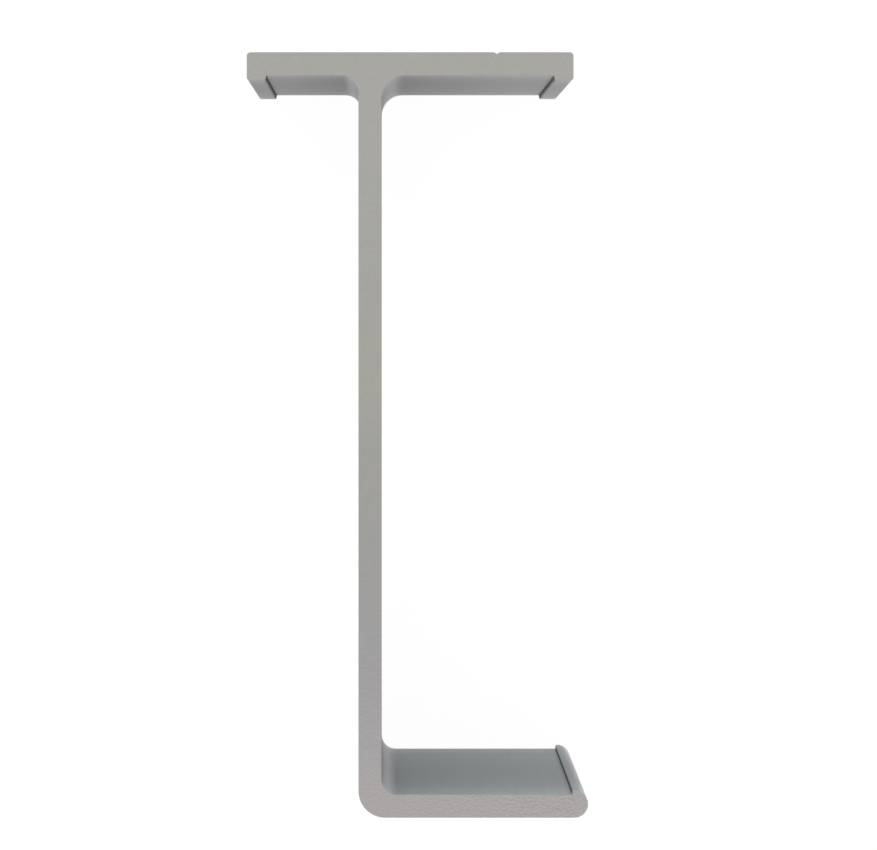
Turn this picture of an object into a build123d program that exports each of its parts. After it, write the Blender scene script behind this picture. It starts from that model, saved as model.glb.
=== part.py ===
from build123d import *

import os

# A short slice of an extruded aluminium T-section with a foot, all one piece of metal.
# A T head with two small down-turned lips sits on a long web, and the web turns at its
# base into a foot that ends in a round bulb. The slice is too narrow on its foot to
# stand safely, so it lies on its back cut face: the section is drawn in the XY plane,
# with +Y up the web to the flange and +X along the foot to the bulb, and it is extruded
# up +Z. The origin is the middle of the bounding box's bottom. All sizes in millimetres.

# Overall sizes
slice_length = 25.0
section_height = 100.0

# Head: a flange that reaches less far to the left than to the right
flange_thickness = 3.05
left_overhang = 14.6
right_overhang = 25.1
top_corner_radius = 0.5

# Lips under both ends of the flange, whose inner walls lean outwards
lip_drop = 0.55
lip_root_width = 2.55
lip_tip_width = 2.45
lip_outer_radius = 0.3
lip_inner_radius = 0.2

# V groove in the flange's top, a guide line for drilling
groove_from_right_end = 10.0
groove_width = 0.7
groove_depth = 0.25

# Web and the fillets that tie it to the flange
web_thickness = 3.0
left_root_radius = 2.2
right_root_radius = 3.0

# Foot, from the web's outer face to the end of its bulb
foot_length = 30.0
foot_thickness = 3.05
heel_radius = 3.5
instep_radius = 2.0

# Bulb at the toe: a half round as high as the foot and its rise together, which
# stands proud of the foot behind a short upright step with a rounded crest
bulb_rise = 0.55
bulb_crown_flat = 0.05
bulb_crest_radius = 0.2
bulb_diameter = foot_thickness + bulb_rise
bulb_centre = foot_length - bulb_diameter / 2

# The web's outer face is x = 0 while the section is drawn, then the box is centred
flange_left = -left_overhang
flange_right = web_thickness + right_overhang
box_left = min(flange_left, 0.0)
box_right = max(flange_right, foot_length)
box_centre = (box_left + box_right) / 2


def profile_corners():
    """The sharp corners from the bulb's crown round to its underside, with radii."""
    underside = section_height - flange_thickness
    lip_bottom = underside - lip_drop
    bulb_step = bulb_centre - bulb_crown_flat - bulb_crest_radius

    bulb = [
        (bulb_centre, bulb_diameter, None),
        (bulb_step, bulb_diameter, bulb_crest_radius),
        (bulb_step, foot_thickness, 0),
    ]
    instep_and_root = [
        (web_thickness, foot_thickness, instep_radius),
        (web_thickness, underside, right_root_radius),
    ]
    right_lip = [
        (flange_right - lip_root_width, underside, 0),
        (flange_right - lip_tip_width, lip_bottom, lip_inner_radius),
        (flange_right, lip_bottom, lip_outer_radius),
    ]
    flange_top = [
        (flange_right, section_height, top_corner_radius),
        (flange_left, section_height, top_corner_radius),
    ]
    left_lip = [
        (flange_left, lip_bottom, lip_outer_radius),
        (flange_left + lip_tip_width, lip_bottom, lip_inner_radius),
        (flange_left + lip_root_width, underside, 0),
    ]
    web_and_heel = [
        (0, underside, left_root_radius),
        (0, 0, heel_radius),
        (bulb_centre, 0, None),
    ]
    return bulb + instep_and_root + right_lip + flange_top + left_lip + web_and_heel


def t_profile():
    """The whole section as one face, closed by the bulb's half round."""
    corners = profile_corners()
    bulb_radius = bulb_diameter / 2
    with BuildSketch() as profile:
        with BuildLine():
            FilletPolyline(
                [(x, y) for x, y, radius in corners],
                radius=[radius for x, y, radius in corners[1:-1]],
            )
            CenterArc((bulb_centre, bulb_radius), bulb_radius, -90, 180)
        make_face()
    return profile.sketch


def groove_profile():
    """The V that is cut from the flange's top, drawn to twice its depth."""
    groove_x = flange_right - groove_from_right_end
    return Polygon(
        (groove_x, section_height - groove_depth),
        (groove_x + groove_width, section_height + groove_depth),
        (groove_x - groove_width, section_height + groove_depth),
        align=None,
    )


def t_section():
    """The slice: the grooved section, centred on the origin and extruded upwards."""
    grooved = t_profile() - groove_profile()
    return extrude(Pos(-box_centre, -section_height / 2) * grooved, amount=slice_length)


os.makedirs("parts", exist_ok=True)
export_step(t_section(), "parts/t_section.step")
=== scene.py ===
"""The slice of aluminium T-section: its dressed piece, its finishes, the light and the camera.

The slice lies on its back cut face, and the camera looks straight down on the front one.
"""

import math

import bpy
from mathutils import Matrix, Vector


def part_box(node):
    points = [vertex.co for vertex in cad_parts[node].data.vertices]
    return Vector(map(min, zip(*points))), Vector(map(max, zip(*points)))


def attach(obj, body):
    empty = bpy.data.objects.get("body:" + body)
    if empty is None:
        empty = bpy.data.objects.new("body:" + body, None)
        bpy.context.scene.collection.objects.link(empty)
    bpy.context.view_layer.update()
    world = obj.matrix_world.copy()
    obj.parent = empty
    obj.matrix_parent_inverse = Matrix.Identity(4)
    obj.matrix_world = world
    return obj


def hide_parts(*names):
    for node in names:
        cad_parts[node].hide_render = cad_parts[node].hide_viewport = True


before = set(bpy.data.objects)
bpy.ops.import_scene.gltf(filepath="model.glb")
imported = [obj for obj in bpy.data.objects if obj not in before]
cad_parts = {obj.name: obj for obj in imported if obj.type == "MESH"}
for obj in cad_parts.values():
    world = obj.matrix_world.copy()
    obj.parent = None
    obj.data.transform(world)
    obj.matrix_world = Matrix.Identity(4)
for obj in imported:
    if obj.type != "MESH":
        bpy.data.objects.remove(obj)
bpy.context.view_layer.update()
low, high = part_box("t_section")

MM = 0.001

# The section's sizes in millimetres; its height, length and place come from the frame
FLANGE_THICKNESS = 3.05
LEFT_OVERHANG = 14.6
RIGHT_OVERHANG = 25.1
TOP_CORNER_RADIUS = 0.5
LIP_DROP = 0.55
LIP_ROOT_WIDTH = 2.55
LIP_TIP_WIDTH = 2.45
LIP_OUTER_RADIUS = 0.3
LIP_INNER_RADIUS = 0.2
GROOVE_FROM_RIGHT_END = 10.0
GROOVE_WIDTH = 0.7
GROOVE_DEPTH = 0.25
WEB_THICKNESS = 3.0
LEFT_ROOT_RADIUS = 2.2
RIGHT_ROOT_RADIUS = 3.0
FOOT_LENGTH = 30.0
FOOT_THICKNESS = 3.05
HEEL_RADIUS = 3.5
INSTEP_RADIUS = 2.0
BULB_RISE = 0.55
BULB_CROWN_FLAT = 0.05
BULB_CREST_RADIUS = 0.2
BULB_RADIUS = (FOOT_THICKNESS + BULB_RISE) / 2
SECTION_HEIGHT = (high.y - low.y) / MM
SLICE_LENGTH = (high.z - low.z) / MM
WEB_OUTER_FACE = low.x / MM + LEFT_OVERHANG
WEB_MIDDLE = WEB_OUTER_FACE + WEB_THICKNESS / 2
FLANGE_LEFT = low.x / MM
FLANGE_RIGHT = WEB_OUTER_FACE + WEB_THICKNESS + RIGHT_OVERHANG
FLANGE_UNDERSIDE = high.y / MM - FLANGE_THICKNESS
FOOT_TOP = low.y / MM + FOOT_THICKNESS
BULB_STEP = WEB_OUTER_FACE + FOOT_LENGTH - BULB_RADIUS - BULB_CROWN_FLAT - BULB_CREST_RADIUS

# The saw's burr was filed off, which left a small round along both cut faces
EASED_EDGE, EASED_SEGMENTS = 0.04, 4

# An arc steps by 5 degrees, by more where its radius is under a millimetre, in 4 steps or more
ARC_STEP, SMALL_ARC, FEWEST_STEPS = 5.0, 1.0, 4

# Points this near are one and ends this near in height are level, in millimetres, and an
# edge up to so many degrees is smooth
SAME_POINT, LEVEL_ENDS, SMOOTH_ANGLE = 0.002, 0.001, 35.0

# How a face is told apart: near a place in millimetres, upright, or turned towards the cut
NEAR = 0.01
STEEP = 0.1
CUT_EDGE = 0.35

# Sawn face: colours from the foot to the head, as shares of the height
SAWN_TONES = {0.03: "#A39F9E", 0.10: "#9F9D9E", 0.20: "#9B999A", 0.33: "#9A9997",
              0.47: "#9B9A95", 0.57: "#9F9E98", 0.95: "#A3A29E"}

# The saw's marks: their pitch and depth in millimetres, their length for their height and
# how much they darken, then how many patches of them lie on a millimetre, how alike these
# run, and the value between crest and floor
MARK_PITCH, SAW_MARK_DEPTH, MARK_STRETCH, MARK_CONTRAST = 0.45, 0.02, 0.9, 0.38
MARK_PATCHES, MARK_ALIKE, MARK_MIDDLE = 2.2, 0.6, 0.5

# Distances from the toe in millimetres up to which they are deep and from which they are quiet
MARKS_DEEP_TO, MARKS_QUIET_FROM, QUIET_MARKS = 7.0, 45.0, 0.08

# The marks' wander, the torn grit and the oil's clouds: sizes in millimetres, and strengths
WANDER, WANDER_WIDTH, WANDER_DETAIL = 0.5, 2.5, 1.0
GRIT_SIZE, GRIT_SHARE, GRIT_DETAIL = 0.3, 0.22, 1.0
CLOUD_SIZE, CLOUD_CONTRAST, CLOUD_DETAIL = 3.0, 0.02, 2.0

# A crest is smoother than the sawn face by the burnish, and a floor rougher, from this relief
SAWN_ROUGHNESS, BURNISH, BURNISHED_RELIEF = 0.55, 0.05, 0.2

# Walls: colours from the back cut to the front one, with painted shade in the middle and painted
# light towards both cuts, the painted tint of reflected light from the foot to the head, and the
# tint of the painted highlights
MILL_TONES_AND_SHADE = {0.01: "#C1C4C5", 0.16: "#B0B3B4", 0.32: "#AAADAD", 0.50: "#A5A8A8",
              0.68: "#A5A8A8", 0.82: "#A9ACAC", 0.90: "#B0B3B3", 0.99: "#B7BABA"}
REFLECTION_TINTS = {0.05: "#FCFEFF", 0.95: "#FBF7F8"}
HIGHLIGHT_TINT = "#FEF9FA"
MILL_ROUGHNESS = 0.5
MILL_EDGE_TINT = "#C8C8C8"

# Die lines: how far apart, how long and how deep in millimetres, how finely they are split,
# and how much they darken
DIE_LINE_PITCH, DIE_LINE_LENGTH, DIE_LINE_DEPTH = 0.33, 50.0, 0.003
DIE_LINE_DETAIL, DIE_LINE_FINENESS, LINE_CONTRAST = 3.0, 0.6, 0.08

# The fillets' painted highlight: how bright, how far the wall has turned off the flat where it is
# full, the share of it at the foot, and how far the wall has turned off the web where it starts
FILLET_HIGHLIGHT_STRENGTH, FULL_HIGHLIGHT_TURN, HIGHLIGHT_AT_FOOT, HIGHLIGHT_START_SIDE = 0.4, 0.62, 0.68, 0.2

# The painted highlight is weaker over some millimetres beside the front cut
FRONT_FADE_WIDTH, FRONT_HIGHLIGHT_SHARE = 6.0, 0.4

# A painted highlight on the bulb's outside over its last millimetres, and painted light towards
# the flange's ends
BULB_HIGHLIGHT, BULB_HIGHLIGHT_WIDTH = 0.62, 1.55
END_PAINTED_LIGHT = 0.16

# Walls in the lips' and the bulb's corners, with painted shade: colours from the open edge into
# the corner
CORNER_SHADE_TONES = {0.0: "#949696", 0.25: "#7C7E7E", 0.6: "#707272", 1.0: "#6A6C6C"}
CORNER_SHADE_ROUGHNESS = 0.7
CORNER_SHADE_EDGE_TINT = "#808080"

# Aluminium is metal all over, and the corner walls with painted shade are four fifths metal
BARE_METAL, CORNER_SHADE_METAL = 1.0, 0.8

# The floor: its radius in metres, its paper and its glow, and how much of its shadow is left
# on the slice and in view
FLOOR_RADIUS, FLOOR_SIDES = 2.0, 96
FLOOR_COLOUR = "#EAEAEA"
FLOOR_GLOW = 1.04
SHADOW_ON_SLICE = 0.65
SHADOW_IN_VIEW = 0.1

# Light from the horizon and from straight above, with more from the sides and the foot's
# end, and the white that shows behind the floor
HORIZON_LIGHT = 0.4
ZENITH_LIGHT = 1.12
SIDE_LIGHT = 1.25
FOOT_END_LIGHT = 0.2
BACKDROP_LIGHT = 1.0

# The photograph's frame in pixels, and the point where its lines along the extrusion meet
PHOTO_WIDTH, PHOTO_HEIGHT = 877, 850
PIXELS_PER_MM = 7.656
EYE_COLUMN, EYE_ROW = 385.3, 292.0
SECTION_LEFT_COLUMN, SECTION_BOTTOM_ROW = 246.66, 817.8

# The camera: its height over the front cut and its sensor in millimetres, its reach in metres
EYE_ABOVE_FRONT_CUT = 248.5
SENSOR_WIDTH = 36.0
SEEN_FROM, SEEN_TO = 0.01, 20

# The Mix node's sockets when it mixes colours: its share, both colours and the result
MIX_SHARE, MIX_FIRST, MIX_SECOND, MIX_RESULT = 0, 6, 7, 2


def linear(hex_colour):
    """An sRGB hex colour as linear red, green, blue and alpha."""
    parts = [int(hex_colour[i:i + 2], 16) / 255 for i in (1, 3, 5)]
    return [c / 12.92 if c <= 0.04045 else ((c + 0.055) / 1.055) ** 2.4 for c in parts] + [1.0]


def add_node(tree, kind, inputs=None, **settings):
    """Add a node with its settings, and its inputs, each linked to an output or set to a value."""
    node = tree.nodes.new(kind)
    for name, value in settings.items():
        setattr(node, name, value)
    for socket, value in (inputs or {}).items():
        if isinstance(value, bpy.types.NodeSocket):
            tree.links.new(value, node.inputs[socket])
        else:
            node.inputs[socket].default_value = value
    return node


class Pen:
    """Draws an outline in edit mode: its last point is extruded straight on or spun round."""

    def __init__(self, x, y):
        bpy.ops.object.select_all(action="DESELECT")
        bpy.ops.mesh.primitive_plane_add(size=MM, location=(0, 0, 0))
        self.piece = bpy.context.object
        bpy.ops.object.mode_set(mode="EDIT")
        bpy.ops.mesh.select_all(action="SELECT")
        bpy.ops.mesh.merge(type="CENTER")
        bpy.ops.transform.translate(value=(x * MM, y * MM, 0))
        self.x, self.y, self.heading = x, y, 0.0

    def run(self, length):
        """Go straight on."""
        angle = math.radians(self.heading)
        step = (math.cos(angle) * length, math.sin(angle) * length)
        bpy.ops.mesh.extrude_vertices_move(
            TRANSFORM_OT_translate={"value": (step[0] * MM, step[1] * MM, 0)})
        self.x += step[0]
        self.y += step[1]

    def turn(self, angle, radius=0.0):
        """Turn left by a positive angle, on an arc of that radius or on the spot."""
        if radius:
            to_centre = math.radians(self.heading + math.copysign(90, angle))
            centre = (self.x + radius * math.cos(to_centre),
                      self.y + radius * math.sin(to_centre))
            fineness = min(1, radius / SMALL_ARC)
            steps = max(FEWEST_STEPS, math.ceil(abs(angle) / ARC_STEP * fineness))
            bpy.ops.mesh.spin(steps=steps, angle=math.radians(abs(angle)),
                              center=(centre[0] * MM, centre[1] * MM, 0),
                              axis=(0, 0, -math.copysign(1, angle)))
            outwards = to_centre + math.pi + math.radians(angle)
            self.x = centre[0] + radius * math.cos(outwards)
            self.y = centre[1] + radius * math.sin(outwards)
        self.heading += angle


def draw_foot(pen):
    """From the heel along the underside, round the bulb and back to the instep."""
    pen.run(FOOT_LENGTH - HEEL_RADIUS - BULB_RADIUS)
    pen.turn(180, BULB_RADIUS)
    pen.run(BULB_CROWN_FLAT)
    pen.turn(90, BULB_CREST_RADIUS)
    pen.run(BULB_RISE - BULB_CREST_RADIUS)
    pen.turn(-90)
    bulb_length = BULB_RADIUS + BULB_CROWN_FLAT + BULB_CREST_RADIUS
    pen.run(FOOT_LENGTH - bulb_length - WEB_THICKNESS - INSTEP_RADIUS)
    pen.turn(-90, INSTEP_RADIUS)


def draw_head(pen):
    """From the web's right root round the flange, both lips and the groove to the left root."""
    lean = math.degrees(math.atan2(LIP_DROP, LIP_ROOT_WIDTH - LIP_TIP_WIDTH))
    inner_tangent = LIP_INNER_RADIUS * math.tan(math.radians(lean / 2))
    inner_wall = math.hypot(LIP_DROP, LIP_ROOT_WIDTH - LIP_TIP_WIDTH) - inner_tangent
    lip_bottom = LIP_TIP_WIDTH - inner_tangent - LIP_OUTER_RADIUS
    end_face = FLANGE_THICKNESS + LIP_DROP - LIP_OUTER_RADIUS - TOP_CORNER_RADIUS
    slope = math.degrees(math.atan2(GROOVE_DEPTH, GROOVE_WIDTH / 2))
    groove_side = math.hypot(GROOVE_DEPTH, GROOVE_WIDTH / 2)
    flange_width = LEFT_OVERHANG + WEB_THICKNESS + RIGHT_OVERHANG
    groove_edge = GROOVE_FROM_RIGHT_END - GROOVE_WIDTH / 2 - TOP_CORNER_RADIUS

    pen.turn(-90, RIGHT_ROOT_RADIUS)
    pen.run(RIGHT_OVERHANG - RIGHT_ROOT_RADIUS - LIP_ROOT_WIDTH)
    pen.turn(-lean)
    pen.run(inner_wall)
    pen.turn(lean, LIP_INNER_RADIUS)
    pen.run(lip_bottom)
    pen.turn(90, LIP_OUTER_RADIUS)
    pen.run(end_face)
    pen.turn(90, TOP_CORNER_RADIUS)
    pen.run(groove_edge)
    pen.turn(slope)
    pen.run(groove_side)
    pen.turn(-2 * slope)
    pen.run(groove_side)
    pen.turn(slope)
    pen.run(flange_width - groove_edge - GROOVE_WIDTH - 2 * TOP_CORNER_RADIUS)
    pen.turn(90, TOP_CORNER_RADIUS)
    pen.run(end_face)
    pen.turn(90, LIP_OUTER_RADIUS)
    pen.run(lip_bottom)
    pen.turn(lean, LIP_INNER_RADIUS)
    pen.run(inner_wall)
    pen.turn(-lean)
    pen.run(LEFT_OVERHANG - LIP_ROOT_WIDTH - LEFT_ROOT_RADIUS)
    pen.turn(-90, LEFT_ROOT_RADIUS)


def select_edges(piece, wanted):
    """Select only the edges for which wanted(first point, second point) holds."""
    bpy.ops.mesh.select_all(action="DESELECT")
    bpy.ops.mesh.select_mode(type="EDGE")
    bpy.ops.object.mode_set(mode="OBJECT")
    points = piece.data.vertices
    for edge in piece.data.edges:
        edge.select = wanted(*(points[i].co for i in edge.vertices))
    bpy.ops.object.mode_set(mode="EDIT")


def model_slice():
    """The slice as one closed mesh, drawn as an outline and extruded upwards."""
    pen = Pen(WEB_OUTER_FACE + HEEL_RADIUS, low.y / MM)
    draw_foot(pen)
    pen.run(SECTION_HEIGHT - FOOT_THICKNESS - INSTEP_RADIUS
            - FLANGE_THICKNESS - RIGHT_ROOT_RADIUS)
    draw_head(pen)
    pen.run(SECTION_HEIGHT - FLANGE_THICKNESS - LEFT_ROOT_RADIUS - HEEL_RADIUS)
    pen.turn(90, HEEL_RADIUS)

    piece = pen.piece
    bpy.ops.mesh.select_all(action="SELECT")
    bpy.ops.mesh.remove_doubles(threshold=SAME_POINT * MM)
    bpy.ops.mesh.edge_face_add()
    bpy.ops.mesh.extrude_region_move(
        TRANSFORM_OT_translate={"value": (0, 0, SLICE_LENGTH * MM)})
    bpy.ops.mesh.select_all(action="SELECT")
    bpy.ops.mesh.normals_make_consistent(inside=False)
    select_edges(piece, lambda a, b: abs(a.z - b.z) < LEVEL_ENDS * MM)
    bpy.ops.mesh.bevel(
        offset=EASED_EDGE * MM, segments=EASED_SEGMENTS, profile=0.5, affect="EDGES")
    bpy.ops.object.mode_set(mode="OBJECT")
    piece.name = "extruded_slice"
    piece.data.name = "extruded_slice"
    return piece


def gets_corner_shade(face):
    """Whether a face is a lip's inner wall or the bulb's step, which get painted shade."""
    x, y = face.center.x / MM, face.center.y / MM
    steep = abs(face.normal.x) > STEEP
    by_left_lip = abs(x - FLANGE_LEFT - LIP_ROOT_WIDTH) < LIP_DROP
    by_right_lip = abs(x - FLANGE_RIGHT + LIP_ROOT_WIDTH) < LIP_DROP
    in_lip = FLANGE_UNDERSIDE - LIP_DROP < y < FLANGE_UNDERSIDE and (by_left_lip or by_right_lip)
    in_step = abs(x - BULB_STEP) < NEAR and y < FOOT_TOP + BULB_RISE
    return steep and (in_lip or in_step)


def finish_faces(piece, sawn, mill, corner_shade):
    """Give the cut faces, the extruded walls and the small corner walls with painted shade their
    finishes.
    """
    for material in (sawn, mill, corner_shade):
        piece.data.materials.append(material)
    for face in piece.data.polygons:
        is_cut = abs(face.normal.z) > CUT_EDGE
        face.material_index = 0 if is_cut else 2 if gets_corner_shade(face) else 1


def in_millimetres(tree):
    """The piece's own place in millimetres, and its three parts."""
    coordinates = add_node(tree, "ShaderNodeTexCoord")
    scaled = add_node(tree, "ShaderNodeMapping", {
        "Vector": coordinates.outputs["Object"], "Scale": (1 / MM, 1 / MM, 1 / MM)})
    parts = add_node(tree, "ShaderNodeSeparateXYZ", {"Vector": scaled.outputs["Vector"]})
    return scaled.outputs["Vector"], parts.outputs


def tones_along(tree, part, start, end, tones):
    """Colours that follow one part of the place, from its start to its end in millimetres."""
    spot = add_node(tree, "ShaderNodeMapRange", {
        "Value": part, "From Min": start, "From Max": end})
    tone = add_node(tree, "ShaderNodeValToRGB", {"Fac": spot.outputs["Result"]})
    ramp = tone.color_ramp
    ramp.interpolation = "EASE"
    ramp.elements.remove(ramp.elements[-1])
    for number, (place, colour) in enumerate(tones.items()):
        stop = ramp.elements.new(place) if number else ramp.elements[0]
        stop.position = place
        stop.color = linear(colour)
    return tone.outputs["Color"]


def sawn_aluminium():
    """6063 aluminium as a cold saw leaves it: matt, with fine short marks across the cut."""
    material = bpy.data.materials.new("sawn_aluminium")
    material.use_nodes = True
    tree = material.node_tree
    shader = tree.nodes["Principled BSDF"]
    place, parts = in_millimetres(tree)

    # Warm grey at the head, a little darker half way down, faintly pink at the foot
    tone = tones_along(tree, parts["Y"], low.y / MM, high.y / MM, SAWN_TONES)

    # The saw came in at the toe, where its marks are deepest, and ran quieter to the head
    from_toe = add_node(tree, "ShaderNodeVectorMath", {
        0: place, 1: (high.x / MM, low.y / MM, SLICE_LENGTH)}, operation="DISTANCE")
    depth = add_node(tree, "ShaderNodeMapRange", {
        "Value": from_toe.outputs["Value"],
        "From Min": MARKS_DEEP_TO, "From Max": MARKS_QUIET_FROM,
        "To Min": 1.0, "To Max": QUIET_MARKS})

    # Marks half a millimetre apart and about as long, which wander a little as the blade did
    wander = add_node(tree, "ShaderNodeTexNoise", {
        "Vector": place, "Scale": 1 / WANDER_WIDTH, "Detail": WANDER_DETAIL})
    shift = add_node(tree, "ShaderNodeVectorMath", {
        0: wander.outputs["Color"], 1: (0, WANDER, 0), 2: place}, operation="MULTIPLY_ADD")
    stretch = add_node(tree, "ShaderNodeMapping", {
        "Vector": shift.outputs["Vector"], "Scale": (1 / MARK_STRETCH, 1, 1)})
    marks = add_node(tree, "ShaderNodeTexGabor", {
        "Vector": stretch.outputs["Vector"], "Scale": MARK_PATCHES,
        "Frequency": 1 / (MARK_PITCH * MARK_PATCHES),
        "Anisotropy": MARK_ALIKE, "Orientation": math.pi / 2})
    relief = add_node(tree, "ShaderNodeMath", {
        0: marks.outputs["Value"], 1: MARK_MIDDLE}, operation="SUBTRACT")

    # Grit of torn metal all over, finer than the marks
    grit = add_node(tree, "ShaderNodeTexNoise", {
        "Vector": place, "Scale": 1 / GRIT_SIZE, "Detail": GRIT_DETAIL})
    torn = add_node(tree, "ShaderNodeMapRange", {
        "Value": grit.outputs["Fac"], "To Min": -GRIT_SHARE / 2, "To Max": GRIT_SHARE / 2})
    felt = add_node(tree, "ShaderNodeMath", {
        0: relief.outputs["Value"], 1: depth.outputs["Result"], 2: torn.outputs["Result"]},
        operation="MULTIPLY_ADD")

    # Clouds a few millimetres wide, where cutting oil dried
    clouds = add_node(tree, "ShaderNodeTexNoise", {
        "Vector": place, "Scale": 1 / CLOUD_SIZE, "Detail": CLOUD_DETAIL})
    dried = add_node(tree, "ShaderNodeMapRange", {
        "Value": clouds.outputs["Fac"],
        "To Min": 1 - CLOUD_CONTRAST, "To Max": 1 + CLOUD_CONTRAST})
    shade = add_node(tree, "ShaderNodeMath", {
        0: felt.outputs["Value"], 1: MARK_CONTRAST, 2: dried.outputs["Result"]},
        operation="MULTIPLY_ADD")
    coloured = add_node(tree, "ShaderNodeVectorMath", {
        0: tone, "Scale": shade.outputs["Value"]}, operation="SCALE")
    tree.links.new(coloured.outputs["Vector"], shader.inputs["Base Color"])

    # The crests of the marks are burnished, and their floors are left rough
    rough = add_node(tree, "ShaderNodeMapRange", {
        "Value": felt.outputs["Value"],
        "From Min": -BURNISHED_RELIEF, "From Max": BURNISHED_RELIEF,
        "To Min": SAWN_ROUGHNESS + BURNISH, "To Max": SAWN_ROUGHNESS - BURNISH})
    tree.links.new(rough.outputs["Result"], shader.inputs["Roughness"])

    bump = add_node(tree, "ShaderNodeBump", {
        "Height": felt.outputs["Value"], "Strength": 1.0, "Distance": SAW_MARK_DEPTH * MM})
    tree.links.new(bump.outputs["Normal"], shader.inputs["Normal"])
    shader.inputs["Metallic"].default_value = BARE_METAL
    return material


def die_lines(tree, place):
    """Lines a third of a millimetre apart and finer, which run the whole length."""
    drawn = add_node(tree, "ShaderNodeMapping", {
        "Vector": place,
        "Scale": (1 / DIE_LINE_PITCH, 1 / DIE_LINE_PITCH, 1 / DIE_LINE_LENGTH)})
    lines = add_node(tree, "ShaderNodeTexNoise", {
        "Vector": drawn.outputs["Vector"], "Scale": 1.0,
        "Detail": DIE_LINE_DETAIL, "Roughness": DIE_LINE_FINENESS})
    return lines.outputs["Fac"]


def fillet_highlight(tree, parts):
    """A painted highlight on the web and the rounds at its ends, by how far they face sideways,
    and the share that shows.

    It is brighter at the head than at the foot, and weaker again beside the front cut. It shows
    on the rounds and starts a little off the web's side.
    """
    facing = add_node(tree, "ShaderNodeNewGeometry")
    aside = add_node(tree, "ShaderNodeVectorMath", {
        0: facing.outputs["Normal"]}, operation="ABSOLUTE")
    sides = add_node(tree, "ShaderNodeSeparateXYZ", {"Vector": aside.outputs["Vector"]})
    turned = add_node(tree, "ShaderNodeMapRange", {
        "Value": sides.outputs["X"], "From Max": FULL_HIGHLIGHT_TURN, "To Max": FILLET_HIGHLIGHT_STRENGTH},
        interpolation_type="SMOOTHSTEP")
    before_bulb = add_node(tree, "ShaderNodeMath", {
        0: parts["X"], 1: BULB_STEP}, operation="LESS_THAN")
    under_flange = add_node(tree, "ShaderNodeMath", {
        0: parts["Y"], 1: FLANGE_UNDERSIDE}, operation="LESS_THAN")
    in_bay = add_node(tree, "ShaderNodeMath", {
        0: before_bulb.outputs["Value"], 1: under_flange.outputs["Value"]},
        operation="MULTIPLY")
    up_the_web = add_node(tree, "ShaderNodeMapRange", {
        "Value": parts["Y"], "From Min": FOOT_TOP, "From Max": FLANGE_UNDERSIDE,
        "To Min": HIGHLIGHT_AT_FOOT})
    at_front = add_node(tree, "ShaderNodeMapRange", {
        "Value": parts["Z"], "From Min": SLICE_LENGTH - FRONT_FADE_WIDTH, "From Max": SLICE_LENGTH,
        "To Min": 1.0, "To Max": FRONT_HIGHLIGHT_SHARE})
    whole = add_node(tree, "ShaderNodeMath", {
        0: in_bay.outputs["Value"], 1: up_the_web.outputs["Result"]}, operation="MULTIPLY")
    share = add_node(tree, "ShaderNodeMath", {
        0: whole.outputs["Value"], 1: at_front.outputs["Result"]}, operation="MULTIPLY")
    fillet = add_node(tree, "ShaderNodeMath", {
        0: turned.outputs["Result"], 1: share.outputs["Value"]}, operation="MULTIPLY")
    level = add_node(tree, "ShaderNodeMapRange", {
        "Value": sides.outputs["Y"],
        "From Min": HIGHLIGHT_START_SIDE, "From Max": up_the_web.outputs["Result"]})
    return fillet.outputs["Value"], level.outputs["Result"]


def end_reach(tree, parts):
    """How far off the web's middle a place is, and how much painted light each millimetre of it
    adds.
    """
    from_web = add_node(tree, "ShaderNodeMath", {
        0: parts["X"], 1: WEB_MIDDLE}, operation="SUBTRACT")
    reach = add_node(tree, "ShaderNodeMath", {
        0: from_web.outputs["Value"]}, operation="ABSOLUTE")
    at_head = add_node(tree, "ShaderNodeMapRange", {
        "Value": parts["Y"],
        "From Min": 0.0, "From Max": FLANGE_UNDERSIDE - RIGHT_ROOT_RADIUS,
        "To Max": END_PAINTED_LIGHT / (FLANGE_RIGHT - WEB_MIDDLE)})
    return reach.outputs["Value"], at_head.outputs["Result"]


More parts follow.
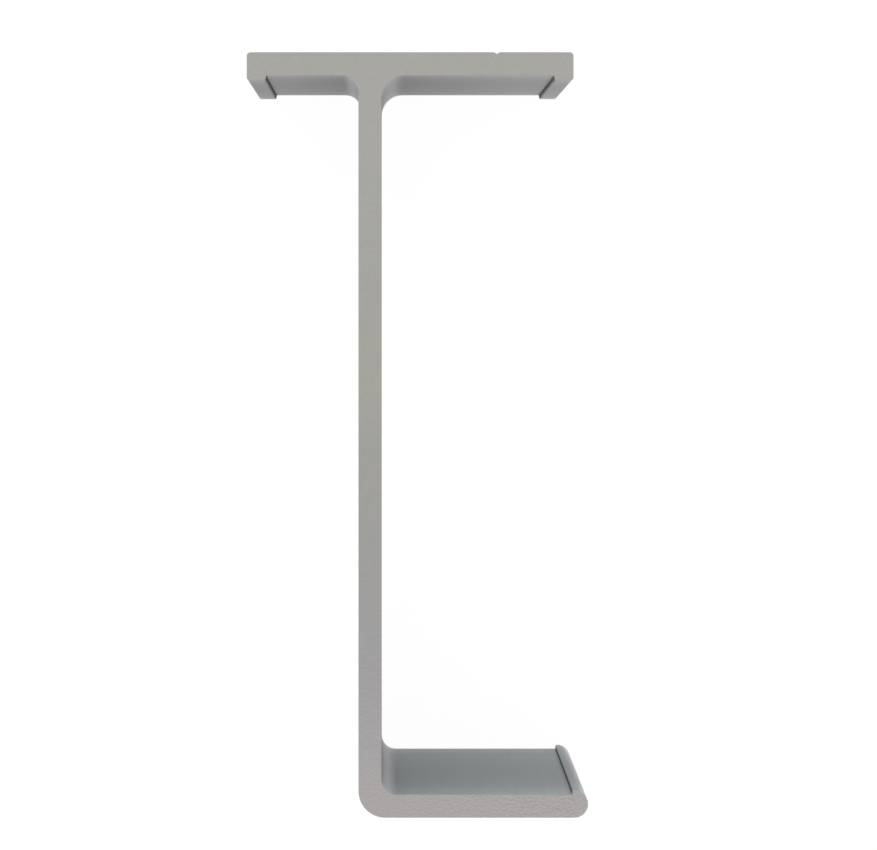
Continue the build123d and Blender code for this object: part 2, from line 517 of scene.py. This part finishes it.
def extruded_wall(name, tones, part, start, end):
    """An extruded wall of 6063 aluminium, satin, with faint die lines along the extrusion, and
    with painted light and shade.

    Its colours run over one part of the place, the same to both sides of the middle.
    """
    material = bpy.data.materials.new(name)
    material.use_nodes = True
    tree = material.node_tree
    shader = tree.nodes["Principled BSDF"]
    place, parts = in_millimetres(tree)
    size = add_node(tree, "ShaderNodeMath", {0: parts[part]}, operation="ABSOLUTE")
    tone = tones_along(tree, size.outputs["Value"], start, end, tones)

    lines = die_lines(tree, place)
    streak = add_node(tree, "ShaderNodeMath", {
        0: lines, 1: LINE_CONTRAST, 2: 1.0 - LINE_CONTRAST / 2}, operation="MULTIPLY_ADD")
    # A painted highlight on the rounds at the web's ends, added to the die lines
    fillet, shown = fillet_highlight(tree, parts)
    lines_and_fillet_highlight = add_node(tree, "ShaderNodeMath", {
        0: fillet, 1: shown, 2: streak.outputs["Value"]}, operation="MULTIPLY_ADD")

    # A painted highlight on the bulb's outside too
    bulb_light = add_node(tree, "ShaderNodeMapRange", {
        "Value": parts["X"],
        "From Min": high.x / MM - BULB_HIGHLIGHT_WIDTH, "From Max": high.x / MM,
        "To Max": BULB_HIGHLIGHT}, interpolation_type="SMOOTHSTEP")
    lines_and_highlights = add_node(tree, "ShaderNodeMath", {
        0: lines_and_fillet_highlight.outputs["Value"], 1: bulb_light.outputs["Result"]}, operation="ADD")

    # Painted tint of reflected light, a touch cooler at the foot than at the head, and the painted
    # highlights' own tint where they lie
    reflection_tint = tones_along(tree, parts["Y"], low.y / MM, high.y / MM, REFLECTION_TINTS)
    highlights = add_node(tree, "ShaderNodeMath", {
        0: fillet, 1: bulb_light.outputs["Result"]}, operation="ADD")
    under_highlight = add_node(tree, "ShaderNodeMapRange", {
        "Value": highlights.outputs["Value"], "From Max": FILLET_HIGHLIGHT_STRENGTH})
    tint = add_node(tree, "ShaderNodeMix", {
        MIX_SHARE: under_highlight.outputs["Result"], MIX_FIRST: reflection_tint, MIX_SECOND: linear(HIGHLIGHT_TINT)},
        data_type="RGBA")
    tinted = add_node(tree, "ShaderNodeVectorMath", {
        0: tone, 1: tint.outputs[MIX_RESULT]}, operation="MULTIPLY")

    # Painted light towards the flange's thin free ends, and painted shade over the web
    reach, lightness = end_reach(tree, parts)
    bright = add_node(tree, "ShaderNodeMath", {
        0: reach, 1: lightness, 2: lines_and_highlights.outputs["Value"]}, operation="MULTIPLY_ADD")
    coloured = add_node(tree, "ShaderNodeVectorMath", {
        0: tinted.outputs["Vector"], "Scale": bright.outputs["Value"]}, operation="SCALE")
    tree.links.new(coloured.outputs["Vector"], shader.inputs["Base Color"])

    bump = add_node(tree, "ShaderNodeBump", {
        "Height": lines, "Strength": 1.0, "Distance": DIE_LINE_DEPTH * MM})
    tree.links.new(bump.outputs["Normal"], shader.inputs["Normal"])
    return material


def give_gloss(material, metallic, roughness, edge_tint):
    """Set what is the same all over a wall on its shader."""
    shader = material.node_tree.nodes["Principled BSDF"]
    shader.inputs["Metallic"].default_value = metallic
    shader.inputs["Roughness"].default_value = roughness
    shader.inputs["Specular Tint"].default_value = linear(edge_tint)


def mill_aluminium():
    """Mill finish as the die leaves it, with painted shade in the middle and painted light beside
    both cut faces.
    """
    material = extruded_wall("mill_aluminium", MILL_TONES_AND_SHADE, "Z", 0.0, SLICE_LENGTH)
    give_gloss(material, BARE_METAL, MILL_ROUGHNESS, MILL_EDGE_TINT)
    return material


def corner_shade_aluminium():
    """The same wall, duller and with painted shade, darkest in the corner where it meets the flat.

    The flange's underside and the foot's top lie equally far from the middle of the web.
    """
    material = extruded_wall(
        "corner_shade_aluminium", CORNER_SHADE_TONES, "Y", FLANGE_UNDERSIDE - LIP_DROP, FLANGE_UNDERSIDE)
    give_gloss(material, CORNER_SHADE_METAL, CORNER_SHADE_ROUGHNESS, CORNER_SHADE_EDGE_TINT)
    return material


def pale_floor():
    """White paper on a light table, whose glow thins the slice's shadow, most of all in view."""
    bpy.ops.object.select_all(action="DESELECT")
    bpy.ops.mesh.primitive_circle_add(
        vertices=FLOOR_SIDES, radius=FLOOR_RADIUS, fill_type="NGON", location=(0, 0, low.z))
    floor = bpy.context.object
    floor.name = "floor"
    material = bpy.data.materials.new("floor_white")
    material.use_nodes = True
    tree = material.node_tree
    tree.nodes.clear()
    paper = add_node(tree, "ShaderNodeBsdfDiffuse", {"Color": linear(FLOOR_COLOUR)})
    glow = add_node(tree, "ShaderNodeEmission", {"Strength": FLOOR_GLOW})
    seen = add_node(tree, "ShaderNodeLightPath")
    share = add_node(tree, "ShaderNodeMapRange", {
        "Value": seen.outputs["Is Camera Ray"],
        "To Min": SHADOW_ON_SLICE, "To Max": SHADOW_IN_VIEW})
    both = add_node(tree, "ShaderNodeMixShader", {
        "Fac": share.outputs["Result"], 1: glow.outputs["Emission"], 2: paper.outputs["BSDF"]})
    add_node(tree, "ShaderNodeOutputMaterial", {"Surface": both.outputs["Shader"]})
    floor.data.materials.append(material)


def studio_light():
    """Soft light from above, with more from both sides than along the web."""
    world = bpy.data.worlds.new("studio")
    bpy.context.scene.world = world
    world.use_nodes = True
    tree = world.node_tree
    tree.nodes.clear()
    direction = add_node(tree, "ShaderNodeTexCoord")
    split = add_node(tree, "ShaderNodeSeparateXYZ", {"Vector": direction.outputs["Generated"]})
    height = add_node(tree, "ShaderNodeMapRange", {
        "Value": split.outputs["Z"], "To Min": HORIZON_LIGHT, "To Max": ZENITH_LIGHT})
    sideways = add_node(tree, "ShaderNodeMath", {
        0: split.outputs["X"], 1: split.outputs["X"]}, operation="MULTIPLY")
    with_sides = add_node(tree, "ShaderNodeMath", {
        0: sideways.outputs["Value"], 1: SIDE_LIGHT, 2: height.outputs["Result"]},
        operation="MULTIPLY_ADD")
    with_foot_end = add_node(tree, "ShaderNodeMath", {
        0: split.outputs["Y"], 1: -FOOT_END_LIGHT, 2: with_sides.outputs["Value"]},
        operation="MULTIPLY_ADD")
    seen = add_node(tree, "ShaderNodeLightPath")
    strength = add_node(tree, "ShaderNodeMix", {
        "Factor": seen.outputs["Is Camera Ray"],
        "A": with_foot_end.outputs["Value"], "B": BACKDROP_LIGHT}, data_type="FLOAT")
    light = add_node(tree, "ShaderNodeBackground", {
        "Color": (1, 1, 1, 1), "Strength": strength.outputs["Result"]})
    add_node(tree, "ShaderNodeOutputWorld", {"Surface": light.outputs["Background"]})


def photo_camera():
    """The photograph's camera, straight above the point where the extrusion's lines meet."""
    data = bpy.data.cameras.new("camera")
    camera = bpy.data.objects.new("camera", data)
    bpy.context.scene.collection.objects.link(camera)
    x = low.x + (EYE_COLUMN - SECTION_LEFT_COLUMN) / PIXELS_PER_MM * MM
    y = low.y + (SECTION_BOTTOM_ROW - EYE_ROW) / PIXELS_PER_MM * MM
    camera.location = (x, y, low.z + (SLICE_LENGTH + EYE_ABOVE_FRONT_CUT) * MM)
    data.sensor_width = SENSOR_WIDTH
    data.lens = data.sensor_width * PIXELS_PER_MM * EYE_ABOVE_FRONT_CUT / PHOTO_WIDTH
    data.shift_x = (PHOTO_WIDTH / 2 - EYE_COLUMN) / PHOTO_WIDTH
    data.shift_y = -(PHOTO_HEIGHT / 2 - EYE_ROW) / PHOTO_WIDTH
    data.clip_start, data.clip_end = SEEN_FROM, SEEN_TO
    bpy.context.scene.camera = camera


piece = model_slice()
bpy.ops.object.shade_smooth_by_angle(angle=math.radians(SMOOTH_ANGLE))
finish_faces(piece, sawn_aluminium(), mill_aluminium(), corner_shade_aluminium())
weighted = piece.modifiers.new("weighted_normals", "WEIGHTED_NORMAL")
weighted.keep_sharp = True
bpy.ops.object.modifier_apply(modifier=weighted.name)
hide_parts("t_section")
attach(piece, "root")

pale_floor()
studio_light()
photo_camera()
bpy.context.scene.view_settings.view_transform = "Standard"
